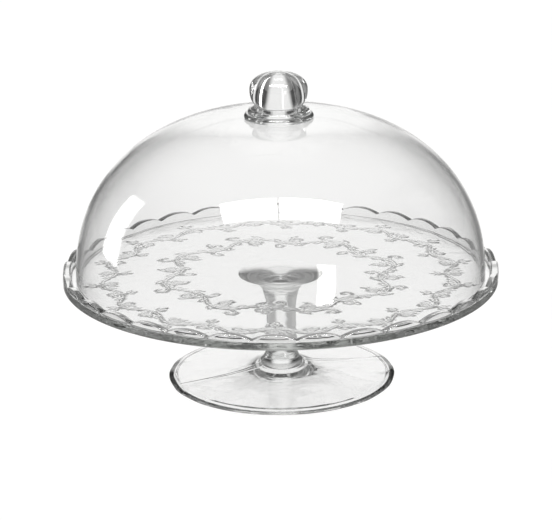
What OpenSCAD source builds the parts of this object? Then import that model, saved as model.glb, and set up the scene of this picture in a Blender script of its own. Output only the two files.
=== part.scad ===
// Footed cake plate with a lift-off dome lid, all in clear pressed glass.
// The plate and the pedestal foot are fused into one stand; the dome shell and
// its hollow knob are fused into one lid. The lid stands free inside the
// plate's rim and lifts straight up. Millimetres, +Z up, origin on the table
// surface under the middle of the foot.

/* [Plate] */
// Outside diameter of the plate
plate_d = 370; // [340:1:400]
// Height of the deck, the surface the cake and the lid stand on, above the table
deck_z = 93.7; // [86:0.1:110]
// Thickness of the glass of the deck
deck_t = 5; // [4:0.5:7]
// Thickness of the rim wall at its top
rim_w = 6.5; // [5:0.5:8]
// Height of the smooth band around the outside, from the underside to the valleys
band_h = 8.1; // [7:0.1:10]
// Radius of the fillet between the deck and the rim wall
fillet_r = 1.6; // [1:0.1:3]

/* [Rim scallops] */
// Number of lobes along the top edge of the rim
lobes = 32; // [24:1:40]
// Rise of each lobe above the valleys between them
lobe_rise = 4.4; // [2.5:0.1:5]
// How far the outside of the lobes leans in at the top
bevel_in = 0.4; // [0.2:0.1:2]

/* [Pedestal foot] */
// Outside diameter of the foot
foot_d = 194; // [160:1:230]
// Thickness of the foot at the top of its sloping edge
foot_edge = 4.7; // [4:0.1:6]
// Width of the sloping edge around the foot
foot_bevel = 5.5; // [3:0.1:8]
// Radius of the rounded lower edge of the foot
foot_round = 2; // [1:0.1:2.5]
// Diameter of the stem at its waist
stem_d = 25; // [20:0.5:34]
// Diameter of the stem's head where it is fused to the plate
head_d = 72; // [56:1:90]
// Width of the flat ring that the foot stands on
contact_w = 4; // [3:0.5:9]
// Diameter of the recess under the middle of the foot
recess_d = 34; // [28:1:40]

/* [Dome shell] */
// Clearance between the foot of the dome and the rim wall
dome_gap = 4.5; // [4.5:0.1:7]
// Height of the dome's full curve above the deck
dome_h = 140.9; // [130:0.1:165]
// Wall thickness at the side
wall_t = 3.5; // [2.5:0.1:5]
// Wall thickness at the crown
crown_t = 2.7; // [2.4:0.1:4]
// Fullness of the curve, seen from above (2 is a plain ellipse)
full_r = 2.315; // [2:0.005:2.6]
// Fullness of the curve, seen from the side
full_z = 2.194; // [2:0.002:2.5]
// Depth by which the crown is flattened for the knob
crown_cut = 4.3; // [3:0.1:5]

/* [Knob] */
// Diameter of the knob
knob_d = 48.8; // [40:0.2:60]
// Diameter of the knob's neck
neck_d = 40.4; // [32:0.2:48]
// Diameter of the lower ring of the collar
collar_d = 58.4; // [50:0.2:70]
// Height of the knob and its collar above the dome
knob_h = 38.3; // [34:0.1:44]
// Radius of the two rounded rings of the collar
ring_r = 2.7; // [2.6:0.1:3]
// Widest diameter of the hollow inside the knob
hollow_d = 29.2; // [24:0.2:32]
// Diameter of the opening from the dome into the knob
bore_d = 26.8; // [20:0.2:29]
// Thickness of the glass over the top of the hollow
cap_t = 5; // [4:0.1:8]

/* [Hidden] */
$fn = 180;
clear = [0.84, 0.90, 0.91, 0.35];

// Plate and its rim
plate_r = plate_d/2;
under_z = deck_z - deck_t;                 // flat underside of the plate
valley_z = under_z + band_h;               // bottom of the notches between lobes
crest_z = valley_z + lobe_rise;            // top of the lobes
rim_in = plate_r - rim_w;                  // inner wall of the rim
pitch = 360/lobes;
chord = 2*plate_r*sin(pitch/2);            // length of one lobe along the rim
lobe_r = (chord*chord/4 + lobe_rise*lobe_rise)/(2*lobe_rise);

// Foot and stem
foot_r = foot_d/2;
stem_r = stem_d/2;
recess_r = recess_d/2;
foot_in = foot_r - foot_round - contact_w; // inside of the ring the foot stands on
foot_decay = 4.22;                         // height scale of the flare into the foot
head_decay = 7;                            // height scale of the flare into the head
foot_flare = (foot_r - foot_bevel - stem_r)*exp(foot_edge/foot_decay);
head_flare = head_d/2 - stem_r;

// Dome
dome_r = rim_in - dome_gap;                // outside of the dome at its foot
curve_drop = 0.6;                          // widest circle of the curve, below the deck
curve_z = deck_z - curve_drop;
curve_h = dome_h + curve_drop;
crown_z = deck_z + dome_h - crown_cut;     // level the crown flattens towards
crown_soft = 2.5;                          // softness of that flattening

// Seat on the dome that the knob is fused to
collar_r = collar_d/2;
seat_r = collar_r + 0.8;
seat_z = outer_z(seat_r);
bore_r = bore_d/2;

// Points along an arc, from angle a0 to a1 in n steps
function arc(centre_r, centre_z, radius, a0, a1, n) =
    [for (i = [0:n])
        let (a = a0 + (a1 - a0)*i/n)
        [centre_r + radius*cos(a), centre_z + radius*sin(a)]];

// Point on a superellipse about the axis at angle t (0 at its side, 90 at its top)
function bulge(t, radius, height, centre_z, power) =
    [radius*pow(cos(t), 2/power), centre_z + height*pow(sin(t), 2/power)];

// Lower of z and level, blended smoothly where they cross
function soft_min(z, level) = level - crown_soft*ln(1 + exp((level - z)/crown_soft));

// Height of a dome curve above its widest circle, at distance x from the axis
function curve(x, radius, height) =
    height*pow(max(0, 1 - pow(min(1, x/radius), full_r)), 1/full_z);

// Height of the dome's outside and inside at distance x from the axis
function outer_z(x) = soft_min(curve_z + curve(x, dome_r, curve_h), crown_z);
function inner_z(x) =
    soft_min(curve_z + curve(x, dome_r - wall_t, curve_h - crown_t), crown_z - crown_t);

// Outside radius of the foot and stem at height z
function stem_at(z) =
    stem_r + foot_flare*exp(-z/foot_decay) + head_flare*exp((z - under_z)/head_decay);

// Height of the foot's underside at distance x, rising from the ring to the recess
function under_foot(x) = 0.8 + 3.6*(foot_in - x)/(foot_in - recess_r);

// Section of the plate, with its rim wall drawn higher than any lobe
module plate_section() {
    edge_r = 1.2;                          // rounding of the lower outside edge
    top_r = plate_r - bevel_in - 0.5;      // outside of the wall above the lobes
    wall_top = crest_z + 2;
    polygon(concat(
        [[0, under_z]],
        arc(plate_r - edge_r, under_z + edge_r, edge_r, -90, 0, 4),
        [[plate_r, valley_z - 0.45],
         [plate_r - bevel_in*0.8, crest_z - 0.6],
         [top_r, crest_z + 0.5],
         [top_r, wall_top],
         [rim_in, wall_top]],
        arc(rim_in - fillet_r, deck_z + fillet_r, fillet_r, 0, -90, 6),
        [[0, deck_z]]));
}

// One rounded lobe, a cylinder lying along the radius and running past both rim walls
module lobe_bar() {
    spare = 5;
    translate([0, 0, crest_z - lobe_r])
        rotate([90, 0, 0])
            translate([0, 0, rim_in - spare])
                cylinder(r = lobe_r, h = rim_w + 2*spare);
}

module plate() {
    color(clear)
    intersection() {
        rotate_extrude() plate_section();
        union() {
            // keeps everything below the valleys
            cylinder(r = plate_r + 20, h = valley_z - 0.8);
            for (i = [0:lobes - 1])
                rotate([0, 0, (i + 0.5)*pitch]) lobe_bar();
        }
    }
}

module pedestal_foot() {
    low_steps = 34;
    high_steps = 12;
    split_z = 45;                          // where the two runs of steps meet
    recess_z = 7;                          // ceiling of the recess
    slope_in = recess_r + 3;               // inner and outer ends of the sloping underside
    slope_out = foot_in - 1;
    // steps are closest together near the foot and near the head
    low_z = [for (i = [0:low_steps]) foot_edge + (under_z - foot_edge)*pow(i/low_steps, 1.9)];
    high_z = [for (i = [0:high_steps])
        under_z - (under_z - split_z)*pow(1 - i/high_steps, 1.6)];
    color(clear)
    rotate_extrude() polygon(concat(
        [[0, recess_z],
         [recess_r - 1.5, recess_z],
         [recess_r, 5.6],
         [slope_in, under_foot(slope_in)],
         [slope_out, under_foot(slope_out)],
         [foot_in, 0]],
        arc(foot_r - foot_round, foot_round, foot_round, -90, 0, 6),
        [for (z = low_z) if (z < split_z) [stem_at(z), z]],
        [for (z = high_z) [stem_at(z), z]],
        [[0, under_z]]));
}

module dome_shell() {
    steps = 26;
    inner_r = dome_r - wall_t;
    lip_r = 0.9;                           // rounding of both edges of the dome's foot
    lip_z = deck_z + lip_r;
    side_z = deck_z + 1.5;                 // the curves start above this level
    mouth_r = bore_r + 1.2;                // bevelled lower edge of the bore
    // radii of the curve stations, from the foot inwards, as shares of the full radius
    shares = [for (i = [0:steps]) pow(cos(88*i/steps), 2/full_r)];
    color(clear)
    rotate_extrude() polygon(concat(
        arc(dome_r - lip_r, lip_z, lip_r, -90, 0, 3),
        [for (share = shares)
            let (x = dome_r*share)
            if (x > seat_r + 1 && outer_z(x) > side_z) [x, outer_z(x)]],
        [[seat_r, seat_z],
         [bore_r, seat_z],
         [bore_r, inner_z(bore_r) + 0.6],
         [mouth_r, inner_z(mouth_r)]],
        [for (i = [steps:-1:0])
            let (x = inner_r*shares[i])
            if (x > bore_r + 2 && inner_z(x) > side_z) [x, inner_z(x)]],
        arc(inner_r + lip_r, lip_z, lip_r, 180, 270, 3)));
}

module knob() {
    steps = 14;
    under_steps = 6;
    mouth_steps = 5;
    ball_full = 2.25;                      // fullness of the ball (2 is a plain ellipse)
    hollow_full = 2.3;
    ball_r = knob_d/2;
    neck_r = neck_d/2;
    hollow_r = hollow_d/2;
    top_z = seat_z + knob_h;
    ball_z = seat_z + 0.619*knob_h;        // level of the knob's widest circle
    neck_z = seat_z + 0.285*knob_h;
    hollow_z = seat_z + 0.40*knob_h;       // level where the hollow is widest
    hollow_top = top_z - cap_t;
    // depth of the ball's lower half that makes it neck_r wide at the neck
    depth = (ball_z - neck_z)/pow(1 - pow(neck_r/ball_r, ball_full), 1/ball_full);
    // centres of the two rings of the collar
    ring_lift = 1.4;
    lower = [collar_r - ring_r, seat_z + ring_lift];
    upper = [lower[0] - 3.2, seat_z + 5.2];
    // slope of the line between the centres, and angle from it to where the rings cross
    lean = atan2(upper[1] - lower[1], lower[0] - upper[0]);
    bite = acos(norm(upper - lower)/2/ring_r);
    color(clear)
    rotate_extrude() polygon(concat(
        [[0, top_z]],
        // ball, from the top down to the neck
        [for (i = [steps - 1:-1:0])
            bulge(90*i/steps, ball_r, top_z - ball_z, ball_z, ball_full)],
        [for (i = [1:under_steps])
            let (z = ball_z + (neck_z - ball_z)*i/under_steps)
            [ball_r*pow(1 - pow((ball_z - z)/depth, ball_full), 1/ball_full), z]],
        [[neck_r, neck_z - 0.8]],
        // upper and lower rings of the collar
        arc(upper[0], upper[1], ring_r, 90, bite - lean, 6),
        arc(lower[0], lower[1], ring_r, 180 - lean - bite, -asin(ring_lift/ring_r), 9),
        [[bore_r, seat_z]],
        // hollow, from the opening up to its top on the axis
        [for (i = [1:mouth_steps])
            [bore_r + (hollow_r - bore_r)*sin(90*i/mouth_steps),
             seat_z + (hollow_z - seat_z)*i/mouth_steps]],
        [for (i = [1:steps - 1])
            bulge(90*i/steps, hollow_r, hollow_top - hollow_z, hollow_z, hollow_full)],
        [[0, hollow_top]]));
}

plate();
pedestal_foot();
dome_shell();
knob();
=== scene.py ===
"""Covered cake stand in clear pressed glass: a scalloped plate with a vine in relief on its
underside, a pedestal foot, a domed lid and a hollow knob. It stands on z = 0 about the z axis.
The camera looks along +Y. Meshes are worked in mm; names ending in _R are radii and names
ending in _Z are heights."""
from math import acos, asin, atan2, ceil, cos, exp, hypot, pi, radians, sin, sqrt, tau

import bpy
import numpy as np
from mathutils import Matrix, Vector, geometry


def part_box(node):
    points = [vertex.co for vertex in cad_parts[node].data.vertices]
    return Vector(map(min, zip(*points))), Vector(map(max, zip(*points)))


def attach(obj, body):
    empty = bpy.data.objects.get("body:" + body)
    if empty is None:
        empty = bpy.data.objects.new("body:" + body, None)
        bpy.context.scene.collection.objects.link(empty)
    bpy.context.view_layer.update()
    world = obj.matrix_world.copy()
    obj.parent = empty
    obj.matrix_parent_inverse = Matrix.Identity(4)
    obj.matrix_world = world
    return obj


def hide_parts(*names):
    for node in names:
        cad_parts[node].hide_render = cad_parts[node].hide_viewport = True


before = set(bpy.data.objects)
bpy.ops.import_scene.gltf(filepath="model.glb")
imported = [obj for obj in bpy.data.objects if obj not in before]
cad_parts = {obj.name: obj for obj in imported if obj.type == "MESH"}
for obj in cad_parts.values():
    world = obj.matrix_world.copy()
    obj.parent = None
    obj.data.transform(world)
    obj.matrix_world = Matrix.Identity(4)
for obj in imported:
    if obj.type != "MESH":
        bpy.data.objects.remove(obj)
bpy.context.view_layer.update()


# ---------------------------------------------------------------- sizes read from the frame
def mm_box(part):
    low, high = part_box(part)
    return np.array(low) * 1000, np.array(high) * 1000


plate_low, plate_high = mm_box("plate")
foot_low, foot_high = mm_box("pedestal_foot")
dome_low, dome_high = mm_box("dome_shell")
knob_low, knob_high = mm_box("knob")

UNIT = (plate_high[0] - plate_low[0]) / 370.0  # one design mm: 1.0 at the design size
PLATE_R = (plate_high[0] - plate_low[0]) / 2
UNDER_Z = plate_low[2]                         # flat underside of the plate
CREST_Z = plate_high[2]                        # top of the rim's lobes
DECK_Z = dome_low[2]                           # upper face of the plate
FOOT_R = (foot_high[0] - foot_low[0]) / 2
FOOT_TOP_Z = foot_high[2]
DOME_R = (dome_high[0] - dome_low[0]) / 2
SEAT_Z = knob_low[2]                           # where the knob sits on the dome
KNOB_TOP_Z = knob_high[2]
KNOB_H = KNOB_TOP_Z - SEAT_Z
COLLAR_R = (knob_high[0] - knob_low[0]) / 2

HEAD_R = 36.0 * UNIT                           # where the stem is fused to the plate
JOIN_R = COLLAR_R - 0.3 * UNIT                 # where the knob is fused to the dome
BORE_R = 13.4 * UNIT                           # opening from the dome into the knob


# ---------------------------------------------------------------- mesh tools
class MeshBuilder:
    """Collects points and faces in mm, welds what coincides and makes one closed object."""

    def __init__(self):
        self.points, self.faces, self.mats, self.count = [], [], [], 0

    def add(self, points, faces, mat=0):
        self.points.append(points)
        self.faces.append(faces + self.count)
        self.mats.append(np.full(len(faces), mat))
        self.count += len(points)

    def object(self, name, glass_mat):
        points = np.concatenate(self.points)
        cells = np.round(points * 2000).astype(np.int64)
        _, first, welded = np.unique(cells, axis=0, return_index=True, return_inverse=True)
        welded = welded.ravel()
        points = points[first]
        faces = {n: [np.zeros((0, n), int)] for n in (3, 4)}
        mats = {n: [np.zeros(0, int)] for n in (3, 4)}
        for face, mat in zip(self.faces, self.mats):
            face = welded[face]
            if face.shape[1] == 4:
                # a quad that has lost a corner in the weld is a triangle
                for i in range(4):
                    same = face[:, i] == face[:, (i + 1) % 4]
                    faces[3].append(np.delete(face[same], i, axis=1))
                    mats[3].append(mat[same])
                    face, mat = face[~same], mat[~same]
            faces[face.shape[1]].append(face)
            mats[face.shape[1]].append(mat)
        tris, quads = np.concatenate(faces[3]), np.concatenate(faces[4])
        tri_mats, quad_mats = np.concatenate(mats[3]), np.concatenate(mats[4])
        whole = (tris != np.roll(tris, -1, axis=1)).all(axis=1)
        tris, tri_mats = tris[whole], tri_mats[whole]

        # all faces turned outwards: the signed volume is positive
        volume = 0.0
        for tri in (tris, quads[:, :3], quads[:, [0, 2, 3]]):
            one, two, three = (points[tri[:, i]] for i in range(3))
            volume += np.einsum("ij,ij->i", one, np.cross(two, three)).sum() / 6
        if volume < 0:
            tris, quads = tris[:, ::-1], quads[:, ::-1]

        mesh = bpy.data.meshes.new(name)
        mesh.vertices.add(len(points))
        mesh.vertices.foreach_set("co", (points / 1000).astype(np.float32).ravel())
        loops = np.concatenate([tris.ravel(), quads.ravel()]).astype(np.int32)
        mesh.loops.add(len(loops))
        mesh.loops.foreach_set("vertex_index", loops)
        starts = np.concatenate([np.arange(len(tris)) * 3,
                                 len(tris) * 3 + np.arange(len(quads)) * 4]).astype(np.int32)
        face_mats = np.concatenate([tri_mats, quad_mats]).astype(np.int32)
        mesh.polygons.add(len(starts))
        mesh.polygons.foreach_set("loop_start", starts)
        mesh.polygons.foreach_set("material_index", face_mats)
        mesh.polygons.foreach_set("use_smooth", np.ones(len(starts), bool))
        mesh.update(calc_edges=True)
        mesh.validate()
        mesh.set_sharp_from_angle(angle=radians(32))
        for mat in (glass_mat, joint):
            mesh.materials.append(mat)
        return link_object(name, mesh)


def link_object(name, data):
    item = bpy.data.objects.new(name, data)
    bpy.context.scene.collection.objects.link(item)
    return item


def even_angles(count):
    return np.arange(count) / count * tau


def ring(radius, z, angles):
    radius = np.broadcast_to(radius, angles.shape)
    z = np.broadcast_to(z, angles.shape)
    return np.stack([radius * np.cos(angles), radius * np.sin(angles), z], 1)


def grid(rows):
    """Points and quads between rows of points, each row closing on itself."""
    count = len(rows[0])
    i, j = np.meshgrid(np.arange(len(rows) - 1), np.arange(count), indexing="ij")
    here = (i * count + j).ravel()
    beside = (i * count + (j + 1) % count).ravel()
    return np.concatenate(rows), np.stack([here, beside, beside + count, here + count], 1)


def fan(row, centre, flip=False):
    """Points and triangles from a closed row to one centre."""
    count = len(row)
    i = np.arange(count)
    faces = np.stack([i, (i + 1) % count, np.full(count, count)], 1)
    return np.concatenate([row, [centre]]), faces[:, ::-1] if flip else faces


def rounded(points, radii, steps=5):
    """A polyline with each inner corner rounded by a short curve. radii: one for each point."""
    points = [np.asarray(p, float) for p in points]
    out = [points[0]]
    for i in range(1, len(points) - 1):
        before, corner, after = points[i - 1], points[i], points[i + 1]
        back, ahead = np.linalg.norm(before - corner), np.linalg.norm(after - corner)
        cut = min(radii[i], 0.48 * back, 0.48 * ahead)
        if cut < 1e-4:
            out.append(corner)
            continue
        start = corner + (before - corner) / back * cut
        end = corner + (after - corner) / ahead * cut
        for t in np.linspace(0, 1, steps + 1):
            out.append((1 - t) ** 2 * start + 2 * t * (1 - t) * corner + t * t * end)
    out.append(points[-1])
    return out


def refine(profile, longest):
    """The profile with its long spans divided, so that warps have points to move."""
    out = [profile[0]]
    for p, q in zip(profile[:-1], profile[1:]):
        count = max(1, int(ceil(hypot(q[0] - p[0], q[1] - p[1]) / longest)))
        for i in range(1, count + 1):
            out.append((p[0] + (q[0] - p[0]) * i / count, p[1] + (q[1] - p[1]) * i / count))
    return out


def lathe(name, glass_mat, profile, angles, joint_row, warp=None):
    """Turns a profile of (radius, z) about the axis. joint_row: the span that is the fused face."""
    rows = []
    for radius, z in profile:
        radii, heights = np.full(len(angles), radius), np.full(len(angles), z)
        if warp and radius > 0:
            radii, heights = warp(radii, heights, angles)
        rows.append(ring(radii, heights, angles))
    builder = MeshBuilder()
    for i in range(len(rows) - 1):
        if profile[i][0] < 1e-9:
            part = fan(rows[i + 1], rows[i][0], flip=True)
        elif profile[i + 1][0] < 1e-9:
            part = fan(rows[i], rows[i + 1][0])
        else:
            part = grid([rows[i], rows[i + 1]])
        builder.add(*part, mat=int(i == joint_row))
    return builder.object(name, glass_mat)


# ---------------------------------------------------------------- shader tools
class Nodes:
    """Short calls to fill a node tree. Values may be numbers or sockets to link from."""

    def __init__(self, tree):
        self.tree = tree
        tree.nodes.clear()

    def feed(self, socket, value):
        if isinstance(value, bpy.types.NodeSocket):
            self.tree.links.new(value, socket)
        else:
            socket.default_value = value

    def add(self, kind, settings=None, **inputs):
        item = self.tree.nodes.new(kind)
        for name, value in (settings or {}).items():
            setattr(item, name, value)
        for name, value in inputs.items():
            self.feed(item.inputs[name], value)
        return item

    def math(self, operation, *values):
        item = self.add("ShaderNodeMath", {"operation": operation})
        for socket, value in zip(item.inputs, values):
            self.feed(socket, value)
        return item.outputs[0]

    def times(self, first, second):
        return self.math("MULTIPLY", first, second)

    def smoothstep(self, low, high, value):
        """0 below low, 1 above high."""
        item = self.add("ShaderNodeMapRange", {"interpolation_type": "SMOOTHSTEP"},
                        **{"Value": value, "From Min": low, "From Max": high})
        return item.outputs["Result"]

    def fall(self, low, high, value):
        """1 below low, 0 above high."""
        return self.math("SUBTRACT", 1.0, self.smoothstep(low, high, value))

    def mix(self, factor, low, high):
        item = self.add("ShaderNodeMix", {"data_type": "FLOAT"})
        for i, value in ((0, factor), (2, low), (3, high)):
            self.feed(item.inputs[i], value)
        return item.outputs[0]

    def colour(self, channels):
        item = self.add("ShaderNodeCombineColor")
        for socket, value in zip(item.inputs, channels):
            self.feed(socket, value)
        return item.outputs[0]

    def noise(self, **inputs):
        return self.add("ShaderNodeTexNoise", **inputs).outputs["Fac"]


def new_material(name):
    mat = bpy.data.materials.new(name)
    mat.use_nodes = True
    return mat, Nodes(mat.node_tree)


# ---------------------------------------------------------------- glass
IOR = 1.5
SURFACE_TINT = 1.0      # colour of each channel before absorption
LONGEST_PATH = 0.5      # metres of glass counted for absorption at most
RUBBED_ROUGHNESS = 0.012


def glass(name, absorb, wave, wave_size, ripple=0.10):
    """Clear pressed glass. absorb: loss of red, green and blue per metre inside. wave: height
    of the surface waves in metres, wave_size: their length. ripple: share of the finer waves."""
    mat, nodes = new_material(name)
    place = nodes.add("ShaderNodeTexCoord").outputs["Object"]
    # length travelled inside, with slow variation as in a batch that is not perfectly even
    rays = nodes.add("ShaderNodeLightPath").outputs
    back = nodes.add("ShaderNodeNewGeometry").outputs["Backfacing"]
    cloud = nodes.noise(Vector=place, Scale=9.0, Detail=2.0, Roughness=0.5)
    vary = nodes.math("MULTIPLY_ADD", cloud, 0.5, 0.75)
    length = nodes.times(nodes.times(rays["Ray Length"], back), vary)
    length = nodes.math("MINIMUM", length, LONGEST_PATH)
    left = [nodes.math("EXPONENT", nodes.times(length, -loss)) for loss in absorb]
    colour = nodes.colour([nodes.times(channel, SURFACE_TINT) for channel in left])
    # polish, slightly rubbed in patches
    rub = nodes.noise(Vector=place, Scale=60.0, Detail=3.0, Roughness=0.6)
    rough = nodes.times(nodes.smoothstep(0.55, 0.8, rub), RUBBED_ROUGHNESS)
    # long and fine waves
    long = nodes.noise(Vector=place, Scale=1.0 / wave_size, Detail=1.5, Roughness=0.4,
                       Distortion=0.6)
    fine = nodes.noise(Vector=place, Scale=4.5 / wave_size, Detail=1.0, Roughness=0.4)
    height = nodes.math("MULTIPLY_ADD", fine, ripple, long)
    bump = nodes.add("ShaderNodeBump", Strength=1.0, Distance=wave, Height=height)
    body = nodes.add("ShaderNodeBsdfGlass", {"distribution": "GGX"}, Color=colour,
                     Roughness=rough, IOR=IOR, Normal=bump.outputs[0])
    nodes.add("ShaderNodeOutputMaterial", Surface=body.outputs[0])
    return mat


def fused(name):
    """The face inside the glass where two pieces are melted together: nothing shows there."""
    mat, nodes = new_material(name)
    clear = nodes.add("ShaderNodeBsdfTransparent", Color=(1, 1, 1, 1))
    nodes.add("ShaderNodeOutputMaterial", Surface=clear.outputs[0])
    return mat


plate_glass = glass("plate_glass", absorb=(2.6, 2.5, 2.6), wave=0.00035, wave_size=0.045)
foot_glass = glass("foot_glass", absorb=(2.1, 2.0, 2.05), wave=0.0006, wave_size=0.035)
dome_glass = glass("dome_glass", absorb=(3.0, 2.9, 2.95), wave=0.00022, wave_size=0.070)
knob_glass = glass("knob_glass", absorb=(2.8, 2.7, 2.75), wave=0.00022, wave_size=0.030,
                   ripple=0.04)
joint = fused("fused_joint")

# ---------------------------------------------------------------- the plate's rim
LOBES = 32
LOBE_COLS = 20                                 # columns of points in each lobe
LOBE_RISE = 4.4 * UNIT
VALLEY_Z = CREST_Z - LOBE_RISE
RIM_IN_R = PLATE_R - 6.5 * UNIT
FILLET_R = 1.6 * UNIT                          # from the rim down to the deck
RELIEF_OUT_R = PLATE_R - 15 * UNIT             # outer border of the relief underneath
LOBE_PITCH = tau / LOBES
LOBE_CHORD = 2 * PLATE_R * sin(LOBE_PITCH / 2)
LOBE_R = (LOBE_CHORD**2 / 4 + LOBE_RISE**2) / (2 * LOBE_RISE)


def rim_column_angles():
    """Angles of the rim's columns, closer together at the sharp valleys."""
    even = np.arange(LOBE_COLS) / LOBE_COLS
    eased = 0.5 - 0.5 * np.cos(np.pi * even)
    eased = 0.35 * even + 0.65 * eased
    return np.concatenate([(i + eased) / LOBES * tau for i in range(LOBES)])


RIM_ANGLES = rim_column_angles()


def crest_at(radius, angle):
    drop = sqrt(max(0.0, LOBE_R**2 - (radius * sin(angle)) ** 2))
    return CREST_Z - LOBE_R + drop


def rim_section(angle):
    """Section at an angle from a lobe's middle, from the underside round the outside to the
    deck."""
    top_out = crest_at(PLATE_R - 3 * UNIT, angle)
    top_in = crest_at(RIM_IN_R, angle)
    full = np.clip((top_out - VALLEY_Z) / LOBE_RISE, 0.0, 1)
    lean = (0.25 + 0.15 * full) * UNIT
    corners = [
        (RELIEF_OUT_R, UNDER_Z),
        (PLATE_R - 1.0 * UNIT, UNDER_Z),
        (PLATE_R, UNDER_Z + 1.0 * UNIT),
        (PLATE_R, VALLEY_Z - 0.45 * UNIT),
        (PLATE_R - lean, top_out),
        (RIM_IN_R + 0.2 * UNIT, top_in),
        (RIM_IN_R, DECK_Z + FILLET_R),
    ]
    line = rounded(corners, np.array([0, 0.8, 0.8, 0.35, 1.0, 1.4, 0]) * UNIT)
    x, z = RIM_IN_R - FILLET_R, DECK_Z + FILLET_R
    line += [np.array([x + FILLET_R * cos(t), z + FILLET_R * sin(t)])
             for t in np.linspace(-0.16, -pi / 2, 9)]
    return np.array(line)


def rim_sections():
    """Sections for all columns, as (column, point, radius and z). Columns at the same distance
    from a lobe's middle share one section."""
    known = {}
    from_middle = np.mod(RIM_ANGLES, LOBE_PITCH) - LOBE_PITCH / 2
    return np.array([known.setdefault(round(abs(a), 9), rim_section(abs(a)))
                     for a in from_middle])


# ---------------------------------------------------------------- strokes of the relief
# A vine in two rings. Strokes are drawn in design mm as (along the ring, outwards).
SECTORS = 8
SECTOR = tau / SECTORS


def tendril(start, heading, length, bend_start, bend_end, step=0.35):
    """A stroke whose curvature changes along it, so that it can curl in. Also its headings."""
    count = int(length / step)
    along = (np.arange(count) + 0.5) / count
    bend = bend_start + (bend_end - bend_start) * along**1.5
    headings = heading + np.cumsum(bend) * step
    moves = np.stack([np.cos(headings), np.sin(headings)], 1) * step
    points = np.cumsum(moves, 0) + np.asarray(start)
    return np.concatenate([[start], points]), np.concatenate([[heading], headings])


def both_sides(path, headings, half_width):
    """The two edges of a band that follows a path."""
    offset = np.stack([-np.sin(headings), np.cos(headings)], 1)
    offset = offset * np.reshape(half_width, (-1, 1))
    return [path + offset, path - offset]


def tapered(path, headings, start_width, end_width):
    """Edge of a band that narrows between two half widths, joined round its tip."""
    count = len(path)
    half_width = start_width + (end_width - start_width) * (np.arange(count) / (count - 1)) ** 0.8
    one, other = both_sides(path, headings, half_width)
    t = np.linspace(0, np.pi, 7)[1:-1]
    last = headings[-1]
    tip = path[-1] + end_width * (np.cos(t)[:, None] * [-sin(last), cos(last)]
                                  + np.sin(t)[:, None] * [cos(last), sin(last)])
    return [np.concatenate([one, tip, other[::-1]])]


def leaf(base, heading, side, lean, length, width, bend=0.0):
    """Both edges of a leaf that leans to one side (1 or -1) of a heading and bends back."""
    t = np.linspace(0, 1, 26)
    half_width = width / 2 * np.sin(np.pi * t**0.8) * (1 - 0.25 * t)
    headings = heading + side * lean + -side * bend * t
    middle = np.cumsum(np.stack([np.cos(headings), np.sin(headings)], 1) * length / 25, 0)
    middle = np.concatenate([[[0, 0]], middle[:-1]]) + np.asarray(base)
    return both_sides(middle, headings, half_width)


def flower(centre, size, turn):
    """Five petals about a small round centre."""
    out = []
    t = np.linspace(0, 1, 22)
    for i in range(5):
        middle = turn + tau * i / 5
        radii = size * (0.34 + 0.66 * np.sin(np.pi * t) ** 0.75)
        angles = middle + (t - 0.5) * tau / 5 * 0.94
        out.append(np.stack([np.cos(angles), np.sin(angles)], 1) * radii[:, None] + centre)
    t = np.linspace(0, tau, 14)
    out.append(np.stack([np.cos(t), np.sin(t)], 1) * size * 0.2 + centre)
    return out


class Vine:
    """A wavy stem round a ring, and what grows from it."""

    def __init__(self, radius, amplitude, waves, half_width):
        self.radius, self.amplitude = radius, amplitude
        self.period = tau * radius / SECTORS / waves
        along = np.linspace(0, self.period * waves, int(self.period * waves / 0.4))
        turn = tau * along / self.period
        middle = np.stack([along, amplitude * np.sin(turn)], 1)
        headings = np.arctan2(amplitude * tau / self.period * np.cos(turn), 1.0)
        self.strokes = both_sides(middle, headings, half_width)

    def place(self, wave, half, fraction):
        return wave * self.period + (fraction + 0.5 * half) * self.period

    def at(self, x):
        return (x, self.amplitude * sin(tau * x / self.period))

    def slope(self, x):
        return atan2(self.amplitude * tau / self.period * cos(tau * x / self.period), 1.0)

    def branch(self, x, side, turn, length, bends, half_widths, skip=4,
               leaves=(), leaf_width=0.0, leaf_bend=0.0):
        """Adds a curling branch and returns its tip. skip: points left out inside the stem.
        leaves: (share of the length, side, leaf length)."""
        path, headings = tendril(self.at(x), self.slope(x) + side * turn, length,
                                 -side * bends[0], -side * bends[1])
        self.strokes += tapered(path[skip:], headings[skip:], *half_widths)
        for share, leaf_side, leaf_length in leaves:
            i = int(share * len(path))
            self.strokes += leaf(path[i], headings[i], leaf_side * side, 0.85, leaf_length,
                                 leaf_width, leaf_bend)
        return path[-1]

    def stem_leaf(self, x, side, lean, length, width, bend):
        self.strokes += leaf(self.at(x), self.slope(x), side, lean, length, width, bend)

    def placed(self):
        """The strokes in x and y, bent round the ring."""
        out = []
        for stroke in self.strokes:
            angles = stroke[:, 0] / self.radius
            radii = self.radius + stroke[:, 1]
            out.append(np.stack([radii * np.cos(angles), radii * np.sin(angles)], 1))
        return out


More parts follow.
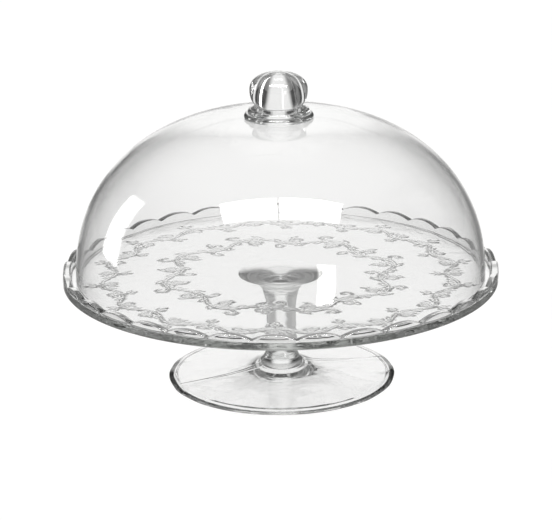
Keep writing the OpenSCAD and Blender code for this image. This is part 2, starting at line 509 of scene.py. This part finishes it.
def inner_vine():
    vine = Vine(radius=93.0, amplitude=8.4, waves=1, half_width=1.25)
    for half, side in ((0, 1), (1, -1)):
        tip = vine.branch(vine.place(0, half, 0.03), side, turn=0.16, length=50,
                          bends=(0.050, 0.40), half_widths=(1.25, 0.9),
                          leaves=((0.20, -1, 10.5), (0.38, 1, 8.6), (0.58, 1, 7.4)),
                          leaf_width=4.4, leaf_bend=0.45)
        if half == 0:
            vine.strokes += flower(tip, 5.2, turn=0.4)
        for fraction, leaf_side, length in ((0.13, 1, 10.0), (0.43, -1, 9.0)):
            vine.stem_leaf(vine.place(0, half, fraction), leaf_side * side, lean=0.8,
                           length=length, width=4.6, bend=0.5)
        vine.branch(vine.place(0, half, 0.33), side, turn=0.55, length=24,
                    bends=(-0.02, -0.50), half_widths=(1.0, 0.8), skip=3)
    return vine.placed()


def outer_vine():
    vine = Vine(radius=147.0, amplitude=6.0, waves=2, half_width=1.15)
    for wave in range(2):
        for half, side in ((0, 1), (1, -1)):
            tip = vine.branch(vine.place(wave, half, 0.04), side, turn=0.18,
                              length=37 if half == wave else 33,
                              bends=(0.070, 0.50), half_widths=(1.1, 0.8),
                              leaves=((0.24, -1, 8.6), (0.48, 1, 6.6)),
                              leaf_width=3.8, leaf_bend=0.4)
            if half == wave:
                vine.strokes += flower(tip, 4.6, turn=0.2 + wave)
            # a sprig on the outside of the bend, of three leaves on a short stalk
            stalk, headings = tendril(vine.at(vine.place(wave, half, 0.25)),
                                      pi / 2 * side - 0.25, 5.0, 0.04, 0.04)
            vine.strokes.append(stalk)
            for lean, length in ((-0.8, 6.6), (0.0, 8.0), (0.8, 6.6)):
                vine.strokes += leaf(stalk[-1], headings[-1], 1, lean, length, width=3.4)
            vine.stem_leaf(vine.place(wave, half, 0.42), -side, lean=0.9, length=7.6,
                           width=3.6, bend=0.4)
    return vine.placed()


# ---------------------------------------------------------------- mesh of the relief
RIDGE_W = 0.78 * UNIT                          # half width of the ridge along a stroke
RIDGE_H = 0.40 * UNIT
HEAD_COLS = 256                                # points round the stem's head
SPOT_GAP = 0.36 * UNIT                         # least gap between points on the ridges
COARSE_GAP = 1.5 * UNIT                        # least gap between points elsewhere
COARSE_STEP = 3.4 * UNIT


def resample(path, step):
    done = np.concatenate([[0], np.cumsum(np.linalg.norm(np.diff(path, axis=0), axis=1))])
    t = np.linspace(0, done[-1], max(2, int(ceil(done[-1] / step)) + 1))
    return np.stack([np.interp(t, done, path[:, 0]), np.interp(t, done, path[:, 1])], 1)


def spin(points, angle):
    c, s = cos(angle), sin(angle)
    return points @ np.array([[c, s], [-s, c]])


def with_neighbours(points):
    """The points of a sector together with their copies in the sectors on both sides."""
    return np.concatenate([spin(points, angle) for angle in (-SECTOR, 0.0, SECTOR)])


def sector_border():
    head = ring(HEAD_R, 0, np.arange(HEAD_COLS // SECTORS + 1) / (HEAD_COLS // SECTORS) * SECTOR)
    rim = ring(RELIEF_OUT_R, 0,
               np.concatenate([RIM_ANGLES[:len(RIM_ANGLES) // SECTORS], [SECTOR]]))
    radii = np.concatenate([np.linspace(HEAD_R, 70 * UNIT, 13)[1:],
                            np.arange(70.9 * UNIT, RELIEF_OUT_R - 0.5 * UNIT, 0.9 * UNIT)])
    side = np.stack([radii, np.zeros(len(radii))], 1)
    return np.concatenate([head[:, :2], spin(side, SECTOR), rim[::-1, :2], side[::-1]])


def ridge_points(strokes):
    """Points on the ridges, the most important first: the crest, then both slopes and feet."""
    out = []
    for offset in (0.0, 0.5, -0.5, 1.06, -1.06):
        for stroke in strokes:
            path = resample(stroke, 1.0 * UNIT if offset == 0 else 1.15 * UNIT)
            way = np.gradient(path, axis=0)
            way /= np.linalg.norm(way, axis=1)[:, None] + 1e-9
            out.append(path + np.stack([-way[:, 1], way[:, 0]], 1) * offset * RIDGE_W)
    return with_neighbours(np.concatenate(out))


def coarse_points():
    """A staggered grid for the flat ground between the ridges."""
    steps = np.arange(0, PLATE_R, COARSE_STEP)
    x, y = np.meshgrid(steps, steps)
    x = x + (np.arange(len(steps)) % 2)[:, None] * COARSE_STEP / 2
    return np.stack([x.ravel(), y.ravel()], 1)


def inside_sector(points, margin):
    radii = np.hypot(points[:, 0], points[:, 1])
    angles = np.arctan2(points[:, 1], points[:, 0])
    to_side = radii * np.minimum(np.sin(np.clip(angles, -1, 1.5)),
                                 np.sin(np.clip(SECTOR - angles, -1, 1.5)))
    return points[(radii > HEAD_R + margin) & (radii < RELIEF_OUT_R - margin)
                  & (angles > 0) & (angles < SECTOR) & (to_side > margin)]


def thin_out(groups):
    """Keeps, in order, each point that is far enough from all kept before it.
    groups: (points, least gap)."""
    taken, chosen = {}, []
    for points, gap in groups:
        reach = int(ceil(gap / SPOT_GAP))
        around = range(-reach, reach + 1)
        for x, y in points:
            i, j = int(x / SPOT_GAP), int(y / SPOT_GAP)
            near = (p for di in around for dj in around for p in taken.get((i + di, j + dj), ()))
            if all((p[0] - x) ** 2 + (p[1] - y) ** 2 >= gap * gap for p in near):
                taken.setdefault((i, j), []).append((x, y))
                chosen.append((x, y))
    return np.array(chosen)


def ridge_heights(points, strokes):
    """Height of the relief, from the distance to the nearest stroke."""
    line = with_neighbours(np.concatenate([resample(stroke, 0.16) for stroke in strokes]))
    angles = np.arctan2(line[:, 1], line[:, 0])
    line = line[(angles > -0.06) & (angles < SECTOR + 0.06)]
    nearest = [((points[i:i + 64, None, :] - line[None, :, :]) ** 2).sum(2).min(1)
               for i in range(0, len(points), 64)]
    away = np.sqrt(np.concatenate(nearest)) / RIDGE_W
    return np.where(away < 1, (1 - np.clip(away, 0, 1) ** 2) ** 2, 0) * RIDGE_H


def relief_sector():
    """Points and triangles of one sector of the underside, from the stem's head to the rim."""
    strokes = [stroke * UNIT for stroke in inner_vine() + outer_vine()]
    border = sector_border()
    count = len(border)
    free = thin_out([(inside_sector(ridge_points(strokes), 0.45 * UNIT), SPOT_GAP),
                     (inside_sector(coarse_points(), 1.6 * UNIT), COARSE_GAP)])
    edges = [(i, (i + 1) % count) for i in range(count)]
    vectors = [Vector(p) for p in np.concatenate([border, free]).tolist()]
    result = geometry.delaunay_2d_cdt(vectors, edges, [], 1, 1e-5)
    flat = np.array([v[:] for v in result[0]], float)
    tris = np.array([f for f in result[2] if len(f) == 3], int)
    # the border keeps its exact coordinates
    for i, sources in enumerate(result[3]):
        for source in sources:
            if source < count:
                flat[i] = border[source]
    heights = ridge_heights(flat, strokes)
    # both side borders get the same heights
    pairs = {}
    for i, p in enumerate(flat):
        angle = atan2(p[1], p[0])
        if abs(angle) < 1e-7 or abs(angle - SECTOR) < 1e-7:
            pairs.setdefault(round(hypot(*p), 4), []).append(i)
    for pair in pairs.values():
        heights[pair] = heights[pair].mean()
    z = UNDER_Z - heights
    radii = np.hypot(flat[:, 0], flat[:, 1])
    for edge_r in (HEAD_R, RELIEF_OUT_R):
        z[np.abs(radii - edge_r) < 1e-6] = UNDER_Z
    return np.column_stack([flat, z]), tris


def build_plate():
    sections = rim_sections()
    rows = [ring(sections[:, i, 0], sections[:, i, 1], RIM_ANGLES)
            for i in range(sections.shape[1])]
    rows += [ring(radius * UNIT, DECK_Z, RIM_ANGLES) for radius in (150, 110, 70, 35, 12)]
    builder = MeshBuilder()
    builder.add(*grid(rows))
    builder.add(*fan(rows[-1], (0, 0, DECK_Z)))
    points, tris = relief_sector()
    for i in range(SECTORS):
        turned = spin(points[:, :2], i * tau / SECTORS)
        builder.add(np.column_stack([turned, points[:, 2]]), tris[:, ::-1])
    head = ring(HEAD_R, UNDER_Z, even_angles(HEAD_COLS))
    builder.add(*fan(head, (0, 0, UNDER_Z), flip=True), mat=1)
    return builder.object("plate_glass_dish", plate_glass)


plate = build_plate()

# ---------------------------------------------------------------- the pedestal foot
BEVEL_Z = 4.7 * UNIT                           # top of the sloping edge
BEVEL_W = 5.5 * UNIT
BEVEL_END_Z = BEVEL_Z + 0.35 * UNIT            # where the edge's easing meets the flare
FOOT_ROUND = 2.0 * UNIT                        # bottom outer edge
FOOT_ROW = 3.5 * UNIT                          # longest span of the profile
STEM_R = 12.5 * UNIT
FLARE_FALL = 4.22 * UNIT                       # height in which the flare shrinks by e
FLARE_SIZE = (FOOT_R - BEVEL_W - STEM_R) * exp(BEVEL_Z / FLARE_FALL)
HEAD_FALL = 7.0 * UNIT                         # the same for the widening at the head
UPPER_Z = 48 * UNIT                            # rows close up towards the head from here
SEAMS = (radians(-164), radians(16))
SEAM_COLS = (0.12, 0.3, 0.5, 0.75)             # degrees to each side of a seam


def stem_at(z):
    return (STEM_R + FLARE_SIZE * exp(-z / FLARE_FALL)
            + (HEAD_R - STEM_R) * exp((z - FOOT_TOP_Z) / HEAD_FALL))


def foot_profile():
    """From the axis underneath, round the edge and up the stem to the axis at the top."""
    stand_r = FOOT_R - FOOT_ROUND - 4 * UNIT
    hollow = np.array([(0, 7), (15.5, 7), (17, 5.2), (20, 4.3), (54, 2.6)]) * UNIT
    under = rounded([*hollow, (stand_r - 1.5 * UNIT, 0.9 * UNIT), (stand_r, 0),
                     (FOOT_R - FOOT_ROUND, 0)],
                    np.array([0, 1.2, 1.0, 1.5, 12, 0.8, 0.7, 0]) * UNIT)
    profile = refine(under, FOOT_ROW)
    profile += [(FOOT_R - FOOT_ROUND + FOOT_ROUND * sin(t), FOOT_ROUND - FOOT_ROUND * cos(t))
                for t in np.linspace(0, pi / 2, 9)[1:-1]]
    # the sloping edge, with its two corners eased
    profile += rounded([(FOOT_R, 1.7 * UNIT), (FOOT_R, 2.2 * UNIT), (FOOT_R - BEVEL_W, BEVEL_Z),
                        (stem_at(BEVEL_END_Z), BEVEL_END_Z)], np.array([0, 0.45, 1.2, 0]) * UNIT)
    heights = [BEVEL_END_Z + (FOOT_TOP_Z - BEVEL_END_Z) * (i / 64) ** 2.2 for i in range(1, 65)]
    heights = [z for z in heights if z < UPPER_Z]
    heights += [FOOT_TOP_Z - (FOOT_TOP_Z - UPPER_Z) * (1 - i / 22) ** 1.5 for i in range(23)]
    stem = [(stem_at(z), z) for z in heights]
    profile += refine([profile[-1]] + stem, FOOT_ROW)[1:]
    return profile + [(0.0, FOOT_TOP_Z)]


def foot_warp(radii, z, angles):
    """A slightly wavy edge and two fine mould seams."""
    edge = np.clip((radii - 60 * UNIT) / (37 * UNIT), 0, 1) ** 1.6
    top = (z > BEVEL_END_Z * 0.45) & (z < 30 * UNIT)
    swell = np.cos(16 * angles + 0.5)
    out = (swell + 0.45 * np.sin(7 * angles + 1.0) + 0.3 * np.cos(23 * angles))
    out = out * 0.28 * UNIT * edge
    rise = 0.32 * UNIT * edge * swell * (radii < FOOT_R - BEVEL_END_Z * 0.3)
    rise = np.where(top, rise, 0)
    for seam in SEAMS:
        away = np.abs(np.mod(angles - seam + pi, tau) - pi) * np.maximum(radii, 20 * UNIT)
        ridge = np.exp(-(away / (0.42 * UNIT)) ** 2) * 0.22 * UNIT
        rise = rise + np.where(top & (radii > 15 * UNIT),
                               ridge * np.clip((FOOT_R - radii) / (6 * UNIT), 0, 1), 0)
        out = out + np.where(z > 22 * UNIT,
                             ridge * np.clip((FOOT_TOP_Z - z) / (10 * UNIT), 0, 1), 0)
    moved = radii + out * (radii > STEM_R * 0.5) * (z > 0.3 * UNIT)
    return np.minimum(moved, FOOT_R), z + rise


def build_foot():
    angles = list(even_angles(256))
    angles += [(seam + radians(sign * away)) % tau
               for seam in SEAMS for sign in (-1, 1) for away in SEAM_COLS]
    profile = foot_profile()
    return lathe("pedestal_foot_glass", foot_glass, profile, np.array(sorted(angles)),
                 joint_row=len(profile) - 2, warp=foot_warp)


foot = build_foot()

# ---------------------------------------------------------------- the dome shell
WALL = 3.5 * UNIT                              # thickness of the side
CROWN = 2.7 * UNIT                             # thickness of the top
GAP = 0.04 * UNIT                              # between the dome and the deck
CURVE_DROP = 0.6 * UNIT                        # the curve starts this far below the deck
CURVE_TOP = 140.9 * UNIT                       # top of the curve above the deck
FULL_R, FULL_Z = 2.315, 2.194                  # powers of the curve: 2 is an ellipse
CAP_Z = DECK_Z + CURVE_TOP - 4.3 * UNIT        # the top is softly cut off at this height
CAP_SOFT = 2.5 * UNIT
DOME_IN_R = DOME_R - WALL
DOME_STEPS = 84


def dome_z(radius, base_r, inset):
    """Height of the outer (inset 0) or inner surface."""
    height = CURVE_TOP + CURVE_DROP - inset
    z = DECK_Z - CURVE_DROP + height * (1 - (radius / base_r) ** FULL_R) ** (1 / FULL_Z)
    cap = CAP_Z - inset
    return cap - CAP_SOFT * np.logaddexp(0, (cap - z) / CAP_SOFT)


def dome_points(base_r, inset, least_r, least_z, steps):
    """Points of a dome surface that lie beyond a radius and above a height."""
    out = []
    for i in steps:
        radius = base_r * cos(radians(90 * (1 - i / DOME_STEPS))) ** (2 / FULL_R)
        z = dome_z(radius, base_r, inset)
        if radius > least_r and z > least_z:
            out.append((radius, z))
    return out


def build_dome():
    profile = [(BORE_R, SEAT_Z), (JOIN_R, SEAT_Z), (JOIN_R + 0.6 * UNIT, SEAT_Z)]
    outer = dome_points(DOME_R, 0, JOIN_R + 1.4 * UNIT, DECK_Z + 3 * UNIT,
                        range(1, DOME_STEPS + 1))
    profile += [(radius, min(z, SEAT_Z)) for radius, z in outer]
    foot_z = DECK_Z + GAP
    profile += rounded([profile[-1], (DOME_R, foot_z), (DOME_R - WALL / 2, foot_z),
                        (DOME_IN_R, foot_z), (DOME_IN_R, DECK_Z + 3 * UNIT)],
                       np.array([0, 1.7, 0, 1.7, 0]) * UNIT, 6)[1:]
    profile += dome_points(DOME_IN_R, CROWN, BORE_R + 3 * UNIT, DECK_Z + 3.2 * UNIT,
                           range(DOME_STEPS - 1, 0, -1))
    profile += rounded([profile[-1], (BORE_R, dome_z(BORE_R, DOME_IN_R, CROWN)),
                        (BORE_R, SEAT_Z)], [0, 1.6 * UNIT, 0], 8)[1:]
    return lathe("dome_shell_glass", dome_glass, profile, even_angles(288), joint_row=0)


dome = build_dome()

# ---------------------------------------------------------------- the knob
BALL_Z = SEAT_Z + 0.619 * KNOB_H               # widest height
BALL_R = 24.4 * UNIT
BALL_FULL = 2.25                               # power of the ball's curve
NECK_Z = SEAT_Z + 0.285 * KNOB_H
NECK_R = 20.2 * UNIT
BEAD_R = 2.7 * UNIT                            # section of the collar's two beads
LOW_BEAD = np.array([COLLAR_R - BEAD_R, SEAT_Z + 1.4 * UNIT])
HIGH_BEAD = np.array([COLLAR_R - BEAD_R - 3.2 * UNIT, SEAT_Z + 5.2 * UNIT])
# the hollow, open to the inside of the dome
HOLLOW_R = 14.6 * UNIT
HOLLOW_FULL = 2.3
HOLLOW_TOP_Z = KNOB_TOP_Z - 5.0 * UNIT
HOLLOW_WIDE_Z = SEAT_Z + 0.40 * KNOB_H         # widest height
HOLLOW_LOW_Z = SEAT_Z + 0.02 * KNOB_H          # it widens from here


def on_bead(centre, angle):
    return centre + BEAD_R * np.array([cos(angle), sin(angle)])


def knob_outside():
    """From the top down to the seat and in to the bore."""
    profile = [(0.0, KNOB_TOP_Z)]
    for i in range(39, -1, -1):
        t = pi / 2 * i / 40
        profile.append((BALL_R * cos(t) ** (2 / BALL_FULL),
                        BALL_Z + (KNOB_TOP_Z - BALL_Z) * sin(t) ** (2 / BALL_FULL)))
    down = (BALL_Z - NECK_Z) / (1 - (NECK_R / BALL_R) ** BALL_FULL) ** (1 / BALL_FULL)
    for i in range(1, 21):
        z = BALL_Z + (NECK_Z - BALL_Z) * i / 20
        profile.append((BALL_R * (1 - ((BALL_Z - z) / down) ** BALL_FULL) ** (1 / BALL_FULL), z))
    profile += rounded([profile[-1], (NECK_R, NECK_Z - 0.8 * UNIT), on_bead(HIGH_BEAD, pi / 2),
                        on_bead(HIGH_BEAD, radians(70))], np.array([0, 1.1, 0.9, 0]) * UNIT)[1:-1]
    # the beads meet in a groove
    lean = atan2(HIGH_BEAD[1] - LOW_BEAD[1], LOW_BEAD[0] - HIGH_BEAD[0])
    bite = acos(np.linalg.norm(HIGH_BEAD - LOW_BEAD) / 2 / BEAD_R)
    profile += [on_bead(HIGH_BEAD, t) for t in np.linspace(radians(70), bite - lean, 12)]
    low_end = -asin(1.4 * UNIT / BEAD_R)
    profile += [on_bead(LOW_BEAD, t) for t in np.linspace(pi - lean - bite, low_end, 20)[1:-1]]
    return profile + [(JOIN_R, SEAT_Z), (BORE_R, SEAT_Z)]


def knob_hollow():
    """From the bore up to the axis."""
    profile = []
    for i in range(1, 25):
        z = SEAT_Z + (HOLLOW_WIDE_Z - SEAT_Z) * i / 24
        t = max(0, (z - HOLLOW_LOW_Z) / (HOLLOW_WIDE_Z - HOLLOW_LOW_Z))
        profile.append((BORE_R + (HOLLOW_R - BORE_R) * sin(pi / 2 * t) ** 1.5, z))
    rise = HOLLOW_TOP_Z - HOLLOW_WIDE_Z
    for i in range(1, 40):
        t = pi / 2 * i / 40
        profile.append((HOLLOW_R * cos(t) ** (2 / HOLLOW_FULL),
                        HOLLOW_WIDE_Z + rise * sin(t) ** (2 / HOLLOW_FULL)))
    return profile + [(0.0, HOLLOW_TOP_Z)]


outside = knob_outside()
knob = lathe("knob_glass_solid", knob_glass, outside + knob_hollow(), even_angles(288),
             joint_row=len(outside) - 2)

for piece, body, part, slot in ((plate, "stand", "plate", "plate_glass"),
                                (foot, "stand", "pedestal_foot", "foot_glass"),
                                (dome, "lid", "dome_shell", "dome_glass"),
                                (knob, "lid", "knob", "knob_glass")):
    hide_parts(part)
    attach(piece, body)

# ---------------------------------------------------------------- studio light
FLANK, ROOF, ROOM = 0.16, 0.85, 0.05    # brightness of the sides, the ceiling and the dim room
WHITE = (1.0, 0.998, 0.992)             # slightly warm


def studio_group():
    """Soft studio light by direction, held to the camera (x right, y up, z ahead): a pale
    backdrop ahead, dimmer sides, and softboxes."""
    tree = bpy.data.node_groups.new("studio", "ShaderNodeTree")
    for name, way, kind in (("Direction", "INPUT", "Vector"), ("Open", "OUTPUT", "Float"),
                            ("Boxes", "OUTPUT", "Float")):
        tree.interface.new_socket(name, in_out=way, socket_type="NodeSocket" + kind)
    nodes = Nodes(tree)
    math, times, smoothstep = nodes.math, nodes.times, nodes.smoothstep
    to_camera = nodes.add(
        "ShaderNodeVectorTransform",
        {"vector_type": "VECTOR", "convert_from": "WORLD", "convert_to": "CAMERA"},
        Vector=nodes.add("NodeGroupInput").outputs[0])
    unit = nodes.add("ShaderNodeVectorMath", {"operation": "NORMALIZE"},
                     Vector=to_camera.outputs[0])
    x, y, z = nodes.add("ShaderNodeSeparateXYZ", Vector=unit.outputs[0]).outputs

    # a bright sweep of paper ahead, from the floor up the wall, with the dim room beside it
    sideways = math("ABSOLUTE", x)
    strip = nodes.fall(0.13, 0.34, sideways)
    ahead = times(smoothstep(-0.45, 0.15, z), nodes.fall(0.62, 0.88, y))
    flank = times(smoothstep(0.50, 0.70, sideways), nodes.fall(0.84, 0.95, sideways))
    flank = times(flank, times(smoothstep(-0.1, 0.3, z), FLANK))
    roof = times(smoothstep(0.45, 0.95, y), ROOF)
    room = math("MAXIMUM", times(strip, ahead), math("MAXIMUM", flank, roof))
    room = math("MULTIPLY_ADD", room, 1.0 - ROOM, ROOM)

    def ratio(value, toward):
        return math("DIVIDE", value, math("MAXIMUM", toward, 0.001))

    def band(value, low, high, soft):
        return times(smoothstep(low - soft, low + soft, value),
                     smoothstep(-high - soft, -high + soft, times(value, -1.0)))

    def window(across, along, toward, across_range, along_range, soft, power):
        """A soft-edged panel facing the axis `toward`."""
        shape = times(band(across, *across_range, soft), band(along, *along_range, soft))
        return times(times(shape, math("GREATER_THAN", toward, 0.0)), power)

    # overhead box, widening away from its near side, two panes with a bar between them
    across = ratio(x, y)
    along = ratio(times(z, -1.0), y)
    spread = math("DIVIDE", across, math("MULTIPLY_ADD", along, 0.32, 0.38))
    bar = math("GREATER_THAN", math("ABSOLUTE", math("ADD", across, 0.025)), 0.012)
    overhead = window(spread, along, y, across_range=(-1.0, 1.0), along_range=(0.45, 0.88),
                      soft=0.02, power=22.0)
    overhead = times(overhead, bar)
    # strip on the left, a little ahead
    leftward = times(x, -1.0)
    left = window(ratio(y, leftward), ratio(z, leftward), leftward,
                  across_range=(-0.16, 0.78), along_range=(0.24, 0.54), soft=0.03, power=6.0)
    # smaller panel on the right, a little ahead
    right = window(ratio(y, x), ratio(z, x), x,
                   across_range=(0.50, 0.90), along_range=(0.10, 0.55), soft=0.09, power=0.28)
    # narrow window behind the camera, to the right
    backward = times(z, -1.0)
    slim = window(ratio(x, backward), ratio(y, backward), backward,
                  across_range=(0.36, 0.57), along_range=(-0.52, 0.23), soft=0.015, power=7.0)
    boxes = math("ADD", math("ADD", overhead, left), math("ADD", right, slim))
    nodes.add("NodeGroupOutput", Open=room, Boxes=boxes)
    return tree


studio = studio_group()


def studio_light(nodes, direction):
    return nodes.add("ShaderNodeGroup", {"node_tree": studio}, Direction=direction).outputs


def white_light(nodes, rays, level, diffuse_level, camera_level):
    """Colour of a light with its own fixed levels for diffuse rays and for the camera."""
    diffuse = nodes.math("GREATER_THAN", rays["Diffuse Depth"], 0.5)
    level = nodes.mix(diffuse, level, diffuse_level)
    level = nodes.mix(rays["Is Camera Ray"], level, camera_level)
    return nodes.colour([nodes.times(level, tint) for tint in WHITE])


def build_world():
    world = bpy.data.worlds.new("studio_world")
    bpy.context.scene.world = world
    world.use_nodes = True
    nodes = Nodes(world.node_tree)
    light = studio_light(nodes, nodes.add("ShaderNodeTexCoord").outputs["Generated"])
    rays = nodes.add("ShaderNodeLightPath").outputs
    # the boxes show as hard shapes only after few walls of glass, and mostly when mirrored once
    few = nodes.math("LESS_THAN", rays["Transmission Depth"], 2.5)
    mirrored = nodes.math("COMPARE", rays["Glossy Depth"], 1.0, 0.4)
    few = nodes.times(few, nodes.math("MULTIPLY_ADD", mirrored, 0.96, 0.04))
    level = nodes.math("ADD", light["Open"], nodes.times(light["Boxes"], few))
    colour = white_light(nodes, rays, level, diffuse_level=1.03, camera_level=1.02)
    background = nodes.add("ShaderNodeBackground", Color=colour)
    nodes.add("ShaderNodeOutputWorld", Surface=background.outputs[0])
    world.cycles.sampling_method = "NONE"


def floor_material():
    """White floor. In the glass it is bright ahead, dims to the sides and is a little darker
    under the foot, where a contact shadow is painted."""
    mat, nodes = new_material("studio_floor")
    place = nodes.add("ShaderNodeNewGeometry").outputs
    away = nodes.add("ShaderNodeVectorMath", {"operation": "SCALE"},
                     Vector=place["Incoming"], Scale=-1.0)
    light = studio_light(nodes, away.outputs[0])
    from_axis = nodes.add("ShaderNodeVectorMath", {"operation": "LENGTH"},
                          Vector=place["Position"]).outputs["Value"]
    # painted contact shadow: the floor seen in the glass is dimmed by 12% near the foot, fading out
    # between 80 and 125 design mm from the axis
    clear_of_foot = nodes.smoothstep(0.080 * UNIT, 0.125 * UNIT, from_axis)
    painted_foot_shadow = nodes.math("MULTIPLY_ADD", clear_of_foot, 0.12, 0.88)
    level = nodes.times(nodes.math("MULTIPLY_ADD", light["Open"], 0.94, 0.05), painted_foot_shadow)
    rays = nodes.add("ShaderNodeLightPath").outputs
    colour = white_light(nodes, rays, level, diffuse_level=1.0, camera_level=1.03)
    glow = nodes.add("ShaderNodeEmission", Color=colour, Strength=1.0)
    matt = nodes.add("ShaderNodeBsdfDiffuse", Color=(1.0, 1.0, 1.0, 1))
    mix = nodes.add("ShaderNodeMixShader", Fac=0.15)
    nodes.feed(mix.inputs[1], glow.outputs[0])
    nodes.feed(mix.inputs[2], matt.outputs[0])
    nodes.add("ShaderNodeOutputMaterial", Surface=mix.outputs[0])
    return mat


def build_floor():
    half, z = 60.0, -0.0004
    mesh = bpy.data.meshes.new("studio_floor")
    corners = [(-half, -half, z), (half, -half, z), (half, half, z), (-half, half, z)]
    mesh.from_pydata(corners, [], [(0, 1, 2, 3)])
    floor = link_object("studio_floor", mesh)
    mesh.materials.append(floor_material())


build_world()
build_floor()

# ---------------------------------------------------------------- camera
ELEVATION = radians(17.968)
AZIMUTH = radians(-3.84)            # from -Y, negative towards -X
ROLL = radians(-0.658)
DISTANCE = 2.134 * UNIT             # metres
TARGET = Vector((0, 0, 0.1 * UNIT))


def build_camera():
    data = bpy.data.cameras.new("camera")
    camera = link_object("camera", data)
    data.sensor_fit = "HORIZONTAL"
    data.sensor_width = 36.0
    data.lens = 163.5
    data.shift_x = -0.0082608696
    data.shift_y = 0.0083695652
    data.clip_start, data.clip_end = 0.05, 200
    back = Vector((sin(AZIMUTH) * cos(ELEVATION), -cos(AZIMUTH) * cos(ELEVATION),
                   sin(ELEVATION)))
    aim = (-back).to_track_quat("-Z", "Y").to_matrix().to_4x4()
    camera.rotation_mode = "QUATERNION"
    camera.location = TARGET + back * DISTANCE
    camera.rotation_quaternion = (aim @ Matrix.Rotation(ROLL, 4, "Z")).to_quaternion()
    bpy.context.scene.camera = camera


build_camera()

# ---------------------------------------------------------------- render settings
scene = bpy.context.scene
scene.view_settings.view_transform = "Standard"
scene.view_settings.look = "None"
for setting, value in {
    "max_bounces": 40,
    "transmission_bounces": 36,
    "glossy_bounces": 24,
    "transparent_max_bounces": 16,
    "diffuse_bounces": 3,
    "caustics_refractive": True,
    "caustics_reflective": True,
    "blur_glossy": 0.0,
    "sample_clamp_indirect": 12.0,
}.items():
    setattr(scene.cycles, setting, value)
